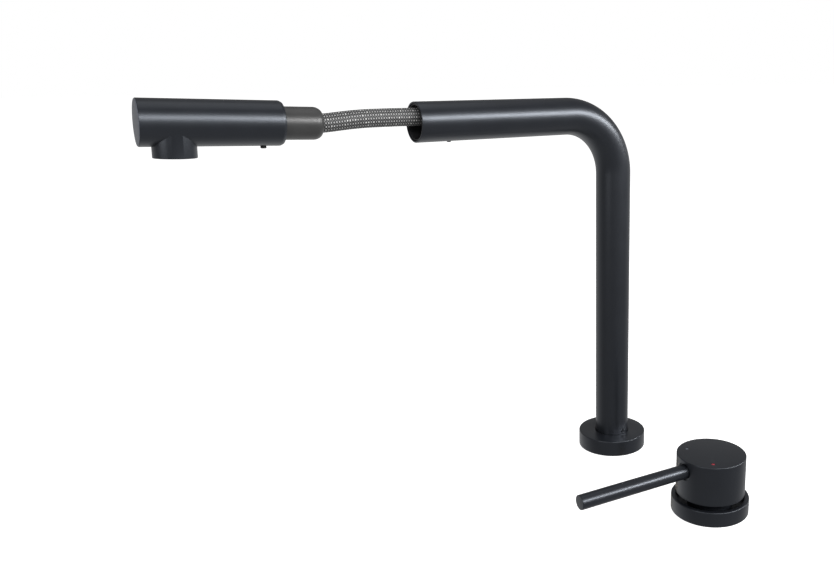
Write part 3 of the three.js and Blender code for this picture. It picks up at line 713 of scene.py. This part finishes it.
def make_spout_tube():
    line = spout_centreline()
    mouth, foot = line[-1], line[0]
    rings = [tube_ring(*foot, TUBE_RADIUS)]
    rings += [tube_ring(*station, TUBE_RADIUS) for station in line[1:-1]]
    quarter = [math.radians(a) for a in (0, 22.5, 45, 67.5, 90)]
    for a in quarter:
        rings.append(tube_ring(*mouth, TUBE_RADIUS - LIP_FILLET * (1 - math.cos(a)),
                               LIP_FILLET * (1 - math.sin(a))))
    for a in reversed(quarter):
        rings.append(tube_ring(*mouth, TUBE_BORE + LIP_FILLET * (1 - math.cos(a)),
                               LIP_FILLET * (1 - math.sin(a))))
    rings += [tube_ring(*station, TUBE_BORE) for station in reversed(line[1:-1])]
    rings.append(tube_ring(*foot, TUBE_BORE))
    tube = skin(visual("spout_tube"), rings, ROW, loop=True)

    arm_screw, column_screw = middle("collar_set_screw"), middle("column_grub_screw")
    hole = SMALL_SCREW_RADIUS + SEAT_GAP
    arm_place = Matrix.Translation((arm_screw.x * MM, 0, ARM_HEIGHT * MM)) @ ROW
    column_place = place_at((0, 0, column_screw.z * MM), (column_screw.x, column_screw.y, 0)) @ ALONG_X
    carve(tube, drill(hole, -TUBE_RADIUS - 2 * OVERRUN, -TUBE_BORE + 3 * OVERRUN, arm_place),
          drill(hole, TUBE_BORE - 3 * OVERRUN, TUBE_RADIUS + 2 * OVERRUN, column_place))
    show(tube, "spout_tube")

    socket_screw("collar_set_screw", SMALL_SCREW_RADIUS, TUBE_BORE - COLLAR_SCREW_INSIDE,
                 TUBE_RADIUS + COLLAR_SCREW_PROUD, arm_place @ FACING_DOWN)
    socket_screw("column_grub_screw", SMALL_SCREW_RADIUS, TUBE_BORE - COLUMN_SCREW_INSIDE,
                 TUBE_RADIUS - COLUMN_SCREW_SUNK, column_place)
    collar_low, collar_high = millimetres("arm_collar")
    collar_radius = outer_radius("arm_collar")
    mouth_place = Matrix.Translation((0, 0, ARM_HEIGHT * MM)) @ ROW @ ALONG_X
    collar_bore = collar_radius - COLLAR_WALL
    collar = lathe(visual("arm_collar"), [
        (collar_bore, collar_low.x, 0.2), (collar_radius, collar_low.x, 0.2),
        (collar_radius, collar_high.x), (collar_bore, collar_high.x)], mouth_place)
    show(carve(collar, drill(hole, -TUBE_RADIUS, -TUBE_BORE + 3 * OVERRUN, arm_place)), "arm_collar")


def make_spout_base():
    low, high = millimetres("spout_flange")
    radius = outer_radius("spout_flange")
    cavity = FOOT_RADIUS + 2 * SEAT_GAP
    bore = TUBE_RADIUS + SEAT_GAP + EASE
    show(lathe(visual("spout_flange"), [
        (cavity, low.z), (radius, low.z, 0.25), (radius, high.z, EDGE_FILLET),
        (bore, high.z, 0.2), (bore, high.z - FLANGE_PLATE), (cavity, high.z - FLANGE_PLATE)],
        ROW), "spout_flange")

    top = millimetres("spout_shank")[1].z
    groove_top, groove_bottom = (top - depth for depth in SEAL_GROOVE)
    groove_radius = JOURNAL_RADIUS - SEAL_GROOVE_DEPTH
    rings = [circle(HOSE_BORE_RADIUS, -SHANK_DEPTH)]
    rings += thread_rings(SPOUT_SHANK_RADIUS, -SHANK_DEPTH, FOOT_BOTTOM - THREAD_STOP)
    rings += [circle(r, z) for r, z in (
        (SPOUT_SHANK_RADIUS, FOOT_BOTTOM), (FOOT_RADIUS, FOOT_BOTTOM), (FOOT_RADIUS, FOOT_TOP),
        (JOURNAL_RADIUS, FOOT_TOP), (JOURNAL_RADIUS, groove_bottom),
        (groove_radius, groove_bottom), (groove_radius, groove_top),
        (JOURNAL_RADIUS, groove_top), (JOURNAL_RADIUS, top), (HOSE_BORE_RADIUS, top))]
    show(skin(visual("spout_shank"), rings, ROW, loop=True), "spout_shank")

    fine_ring("spout_gasket", SPOUT_SHANK_RADIUS + SEAT_GAP, 0.2)
    fine_ring("hose_guide", HOSE_RADIUS + GUIDE_GAP, 0.5)


def make_clamp(prefix, shank_radius, place):
    inner = shank_radius + SEAT_GAP
    fine_ring(prefix + "_rubber_washer", inner, 0.5)
    fine_ring(prefix + "_steel_washer", inner, 0.2)
    hex_nut(prefix + "_fixing_nut", inner, 2 * shank_radius + NUT_OVER_SHANK, place)


# ---- spray head ----------------------------------------------------------------------------------
SHELL_END = HEAD_LENGTH - CAP_SHOWN
SPIGOT_RADIUS = HEAD_BORE - SEAT_GAP
NOZZLE_WAY = HEAD @ Matrix.Translation((NOZZLE_PLACE, 0, 0)) @ FACING_DOWN
SCREW_WAY = HEAD @ Matrix.Translation((NECK_SCREW_PLACE, 0, 0)) @ FACING_DOWN


def make_shell():
    shell = lathe(visual("head_shell"), [
        (0, 0), (HEAD_RADIUS - INNER_BEVEL / 2, 0, 0.2), (HEAD_RADIUS, INNER_BEVEL, 0.5),
        (HEAD_RADIUS, SHELL_END, 0.3), (0, SHELL_END)], HEAD_X, FINE_SEGMENTS)
    boss = lathe("boss", [
        (0, 0), (NOZZLE_RADIUS, 0), (NOZZLE_RADIUS, NOZZLE_DROP, 0.5), (0, NOZZLE_DROP)],
        NOZZLE_WAY, FINE_SEGMENTS)
    carve(shell, boss, operation="UNION")
    carve(shell, drill(HEAD_BORE, -OVERRUN, HEAD_LENGTH, HEAD_X, SEGMENTS),
          drill(NOZZLE_BORE, NOZZLE_BORE_START, NOZZLE_DROP + OVERRUN, NOZZLE_WAY, SEGMENTS),
          drill(NECK_SCREW_RADIUS + SEAT_GAP, HEAD_BORE - 2 * OVERRUN, HEAD_RADIUS + OVERRUN, SCREW_WAY))
    show(shell, "head_shell")

    spigot_end = HEAD_LENGTH - SPIGOT_DEPTH
    disc_radius = HEAD_RADIUS - CAP_INSET
    show(lathe(visual("head_end_cap"), [
        (0, spigot_end), (SPIGOT_RADIUS, spigot_end), (SPIGOT_RADIUS, SHELL_END),
        (disc_radius, SHELL_END, 0.05), (disc_radius, HEAD_LENGTH, 0.2), (0, HEAD_LENGTH)],
        HEAD_X, FINE_SEGMENTS), "head_end_cap")


def make_neck():
    dome_radius, dome_start = NECK_RADIUS - NECK_DOME, -NECK_LENGTH + NECK_DOME
    hole = HOSE_RADIUS + NECK_HOSE_GAP
    mouth = HOSE_RADIUS + NECK_FLARE
    dome = []
    for step in range(DOME_STEPS + 1):
        angle = step / DOME_STEPS * math.pi / 2
        radius = dome_radius + NECK_DOME * math.cos(angle)
        if radius > mouth + NECK_EDGE:
            dome.append((radius, dome_start - NECK_DOME * math.sin(angle)))
    neck = lathe(visual("neck"), [
        (NECK_BORE, NECK_ROOT), (SPIGOT_RADIUS, NECK_ROOT), (SPIGOT_RADIUS, SEAT_GAP, 0.2),
        (NECK_RADIUS, SEAT_GAP), *dome, (mouth, dome[-1][1] - NECK_LIP, 0.15),
        (hole, dome_start), (NECK_BORE, dome_start + NECK_TAPER)], HEAD_X)
    show(carve(neck, drill(NECK_SCREW_RADIUS + SEAT_GAP, HEAD_BORE - 4 * OVERRUN,
                           HEAD_RADIUS + OVERRUN, SCREW_WAY)), "neck")
    socket_screw("neck_set_screw", NECK_SCREW_RADIUS, HEAD_BORE - NECK_SCREW_INSIDE,
                 HEAD_RADIUS + NECK_SCREW_PROUD, SCREW_WAY, 0.4)


def make_aerator():
    housing_outer = NOZZLE_BORE - SEAT_GAP
    housing_bore = housing_outer - HOUSING_WALL
    housing_end = NOZZLE_DROP - HOUSING_SUNK
    show(lathe(visual("aerator_housing"), [
        (HOUSING_INLET, HOUSING_START), (housing_outer, HOUSING_START), (housing_outer, housing_end, 0.4),
        (housing_bore, housing_end, 0.4), (housing_bore, HOUSING_SEAT), (HOUSING_INLET, HOUSING_SEAT)],
        NOZZLE_WAY), "aerator_housing")

    insert_radius = housing_bore - SEAT_GAP
    face = NOZZLE_DROP - INSERT_SUNK
    nub_end = NOZZLE_DROP - NUB_SUNK
    insert = lathe(visual("aerator_insert"), [
        (0, INSERT_START), (insert_radius, INSERT_START), (insert_radius, face, 0.4), (0, face)],
        NOZZLE_WAY)
    holes, jets = [], [(0, 0)]
    for count, place in JET_RINGS:
        jets += [(place * math.cos(2 * math.pi * k / count), place * math.sin(2 * math.pi * k / count))
                 for k in range(count)]
    for x, y in jets:
        at = NOZZLE_WAY @ Matrix.Translation((x, y, 0))
        nub = lathe("nub", [
            (0, face - OVERRUN), (NUB_RADIUS, face - OVERRUN), (NUB_RADIUS, face + EASE),
            (NUB_TIP_RADIUS, nub_end, 0.12), (0, nub_end)], at, 24)
        carve(insert, nub, operation="UNION")
        holes.append(drill(JET_RADIUS, JET_START, NOZZLE_DROP, at, 16))
    show(carve(insert, *holes), "aerator_insert")


def make_hose_end():
    bore, far = HOSE_RADIUS + FERRULE_GAP, FERRULE_NEAR - FERRULE_LENGTH
    show(lathe(visual("hose_ferrule"), [
        (bore, far, 0.3), (FERRULE_RADIUS, far, 0.4), (FERRULE_RADIUS, FERRULE_NEAR, 0.4),
        (bore, FERRULE_NEAR, 0.3)], HEAD_X), "hose_ferrule")
    show(lathe(visual("hose_nut"), [
        (HOSE_NUT_BORE, HOSE_NUT_FAR, 0.3), (HOSE_NUT_RADIUS, HOSE_NUT_FAR, 0.4),
        (HOSE_NUT_RADIUS, HOSE_NUT_NEAR, 0.4), (HOSE_NUT_BORE, HOSE_NUT_NEAR, 0.3)],
        HEAD_X), "hose_nut")


# ---- mixer ---------------------------------------------------------------------------------------
def make_mixer_base():
    low, high = millimetres("mixer_flange")
    radius = outer_radius("mixer_flange")
    cavity = FOOT_RADIUS + 2 * SEAT_GAP
    mouth = cavity + EASE
    step_top = FOOT_TOP + FLANGE_STEP
    throat = MIXER_SHANK_RADIUS + FLANGE_THROAT_GAP
    show(lathe(visual("mixer_flange"), [
        (cavity, low.z), (radius, low.z, 0.25), (radius, high.z, EDGE_FILLET),
        (mouth, high.z, 0.4), (mouth, step_top), (throat, step_top, 0.3),
        (throat, FOOT_TOP + SEAT_GAP), (cavity, FOOT_TOP + SEAT_GAP)], MIXER), "mixer_flange")

    top = millimetres("mixer_body")[1].z
    socket = CARTRIDGE_RADIUS + SEAT_GAP
    rings = [circle(0, -SHANK_DEPTH)]
    rings += thread_rings(MIXER_SHANK_RADIUS, -SHANK_DEPTH, FOOT_BOTTOM - THREAD_STOP)
    rings += [circle(r, z) for r, z in (
        (MIXER_SHANK_RADIUS, FOOT_BOTTOM), (FOOT_RADIUS, FOOT_BOTTOM), (FOOT_RADIUS, FOOT_TOP),
        (MIXER_SHANK_RADIUS, FOOT_TOP), (MIXER_SHANK_RADIUS, top), (BODY_MOUTH_RADIUS, top),
        (BODY_MOUTH_RADIUS, BODY_MOUTH_FLOOR), (socket, BODY_MOUTH_FLOOR), (socket, BODY_FLOOR),
        (0, BODY_FLOOR))]
    body = skin(visual("mixer_body"), rings, MIXER)
    ports = []
    for node in ("outlet_nipple", "hot_inlet", "cold_inlet"):
        ports.append(drill(outer_radius(node) + SEAT_GAP, -SHANK_DEPTH - OVERRUN,
                           -SHANK_DEPTH + PORT_DEPTH, upright(node)))
        fine_ring(node, outer_radius(node) - PIPE_WALL, 0.25)
    show(carve(body, *ports), "mixer_body")
    fine_ring("mixer_gasket", MIXER_SHANK_RADIUS + SEAT_GAP, 0.2)
    hex_nut("hose_coupling", outer_radius("outlet_nipple") + SEAT_GAP, COUPLING_FLATS,
            upright("hose_coupling"))


def make_handle():
    lever_height = middle("lever_rod").z
    lever_place = HANDLE @ Matrix.Translation((0, 0, lever_height)) @ ALONG_X
    back_place = lever_place @ FACING_DOWN
    low, high = millimetres("handle_cap")
    radius = outer_radius("handle_cap")
    ceiling = high.z - CAP_WALL
    cap = lathe(visual("handle_cap"), [
        (radius - CAP_WALL, low.z, 0.3), (radius, low.z, 0.35), (radius, high.z, EDGE_FILLET),
        (0, high.z), (0, ceiling), (radius - CAP_WALL, ceiling)], MIXER, FINE_SEGMENTS)
    tools = [
        drill(LEVER_HOLE, LEVER_HOLE_START, radius + 2 * OVERRUN, lever_place),
        drill(COUNTERSINK, radius - COUNTERSINK_DEPTH, radius + 2 * OVERRUN, lever_place),
        drill(SMALL_SCREW_RADIUS + SEAT_GAP, radius - CAP_WALL - OVERRUN, radius + OVERRUN, back_place),
    ]
    for node in ("hot_mark", "cold_mark"):
        at = upright(node)
        tools.append(drill(MARK_HOLE, high.z - MARK_HOLE_DEPTH, high.z + OVERRUN, at))
        mark_low = high.z - MARK_THICKNESS
        show(lathe(visual(node), [
            (0, mark_low), (MARK_RADIUS, mark_low), (MARK_RADIUS, high.z - 0.15, 0.12),
            (MARK_RADIUS / 2, high.z - 0.02), (0, high.z)], at, 48), node)
    show(carve(cap, *tools), "handle_cap")

    lever_radius = LEVER_HOLE - SEAT_GAP
    show(lathe(visual("lever_rod"), [
        (0, LEVER_ROOT), (lever_radius, LEVER_ROOT), (lever_radius, LEVER_REACH, 0.6),
        (0, LEVER_REACH)], lever_place), "lever_rod")
    socket_screw("cap_grub_screw", SMALL_SCREW_RADIUS, CAP_SCREW_START, radius - CAP_SCREW_SUNK,
                 back_place)


# ---- weight on the hose --------------------------------------------------------------------------
def make_hose_weight():
    upper_low, upper_high = millimetres("hose_weight_upper")
    lower_low = millimetres("hose_weight_lower")[0]
    centre = Vector(((upper_low.x + upper_high.x) / 2, (upper_low.y + upper_high.y) / 2,
                     (lower_low.z + upper_high.z) / 2))
    radius = (upper_high.x - upper_low.x) / 2
    half_length = (upper_high.y - upper_low.y) / 2
    at = Matrix.Translation(centre * MM) @ ROW
    lengthways = at @ Matrix.Rotation(math.radians(90), 4, "X")
    for node, side in (("hose_weight_upper", 1), ("hose_weight_lower", -1)):
        half = lathe(visual(node), [
            (WEIGHT_BORE, -half_length, 0.8), (radius, -half_length, 1.6), (radius, half_length, 1.6),
            (WEIGHT_BORE, half_length, 0.8)], lengthways)
        keep = drill(WEIGHT_BLOCK, WEIGHT_SPLIT * side, WEIGHT_BLOCK * side, at, 4)
        carve(half, keep, operation="INTERSECT")
        holes = [drill(WEIGHT_SCREW_HOLE, -radius, radius, at @ Matrix.Translation((x, 0, 0)))
                 for x in (-(radius + WEIGHT_BORE) / 2, (radius + WEIGHT_BORE) / 2)]
        show(carve(half, *holes), node)
    for node in ("hose_weight_screw_near", "hose_weight_screw_far"):
        low, high = millimetres(node)
        socket_screw(node, WEIGHT_SCREW_RADIUS, low.z, high.z, upright(node))


# ---- studio --------------------------------------------------------------------------------------
FLOOR_SIZE = 40
FLOOR_HEIGHT = -0.0004
BRIGHT_SIDE = (0.38, 0.92, 0)


def area_light(name, location, target, size, energy):
    data = bpy.data.lights.new(name, "AREA")
    data.shape = "RECTANGLE"
    data.size, data.size_y = size
    data.energy = energy
    light = bpy.data.objects.new(name, data)
    bpy.context.scene.collection.objects.link(light)
    light.location = location
    way = Vector(target) - Vector(location)
    light.rotation_euler = way.to_track_quat("-Z", "Y").to_euler()
    light.visible_camera = False


def make_lights():
    area_light("strip", (1.2, -1.2, 0.87), (0.5, 0.0, 0.28), (2.0, 0.4), 34)
    area_light("strip_end", (-0.3, -1.2, 0.85), (-0.3, 0.0, 0.28), (1.0, 0.34), 8)
    area_light("left_soft", (-1.6, -0.6, 0.7), (-0.2, 0.0, 0.25), (0.9, 0.9), 5)
    area_light("overhead", (-0.1, 0.1, 1.8), (-0.1, 0.0, 0.0), (1.6, 1.2), 3)


def make_world():
    """A room that is lighter on one side and near the floor, with a white backdrop for the camera."""
    nodes = Nodes(bpy.data.worlds.new("studio"))
    bpy.context.scene.world = nodes.owner
    nodes.tree.nodes.clear()
    output = nodes.add("OutputWorld")
    coordinates = nodes.add("TexCoord")
    facing = nodes.add("VectorMath", operation="DOT_PRODUCT")
    facing.inputs[1].default_value = BRIGHT_SIDE
    nodes.link(coordinates.outputs["Generated"], facing.inputs[0])
    height = nodes.add("SeparateXYZ")
    nodes.link(coordinates.outputs["Generated"], height.inputs[0])

    side = nodes.map_range(facing.outputs["Value"], (-0.15, 0.9), (0.245, 0.80))
    above = nodes.map_range(height.outputs["Z"], (0.02, 0.25), (1.0, 0.36))
    ground = nodes.map_range(height.outputs["Z"], (-0.35, -0.75), (1.0, 1.45))
    room = nodes.add("Background")
    nodes.link(nodes.math("MULTIPLY", nodes.math("MULTIPLY", side, above), ground),
               room.inputs["Strength"])
    backdrop = nodes.add("Background")
    backdrop.inputs["Color"].default_value = (1, 1, 1, 1)
    rays = nodes.add("LightPath")
    choose = nodes.add("MixShader")
    nodes.link(rays.outputs["Is Camera Ray"], choose.inputs[0])
    nodes.link(room.outputs[0], choose.inputs[1])
    nodes.link(backdrop.outputs[0], choose.inputs[2])
    nodes.link(choose.outputs[0], output.inputs["Surface"])


def make_floor():
    mesh = bpy.data.meshes.new("floor")
    corners = [(x * FLOOR_SIZE, y * FLOOR_SIZE, FLOOR_HEIGHT)
               for x, y in ((-1, -1), (1, -1), (1, 1), (-1, 1))]
    mesh.from_pydata(corners, [], [(0, 1, 2, 3)])
    floor = bpy.data.objects.new("floor", mesh)
    bpy.context.scene.collection.objects.link(floor)
    nodes = Nodes(bpy.data.materials.new("floor"))
    cloud = nodes.mix(nodes.spread(nodes.noise(3, 2), 0, 1), (0.80, 0.80, 0.80), (0.84, 0.84, 0.84))
    nodes.link(cloud, nodes.shader.inputs["Base Color"])
    nodes.shader.inputs["Roughness"].default_value = 0.9
    nodes.shader.inputs["Specular IOR Level"].default_value = 0.0
    nodes.shader.inputs["Emission Color"].default_value = (1, 1, 1, 1)
    nodes.shader.inputs["Emission Strength"].default_value = 1.0
    mesh.materials.append(nodes.owner)
    floor.visible_glossy = False
    floor.visible_diffuse = False


# ---- assembly ------------------------------------------------------------------------------------
make_hose_weight()
make_hoses()
make_spout_tube()
make_spout_base()
make_clamp("spout", SPOUT_SHANK_RADIUS, ROW)
make_shell()
make_neck()
make_aerator()
make_hose_end()
make_mixer_base()
make_clamp("mixer", MIXER_SHANK_RADIUS, MIXER)
make_handle()
for node, piece in frame["nodes"].items():
    if not piece.hide_render:
        for place in piece.material_slots:
            place.material = MATERIALS[SLOT_OF[node]]
make_world()
make_lights()
make_floor()
bpy.context.scene.view_settings.view_transform = "Standard"
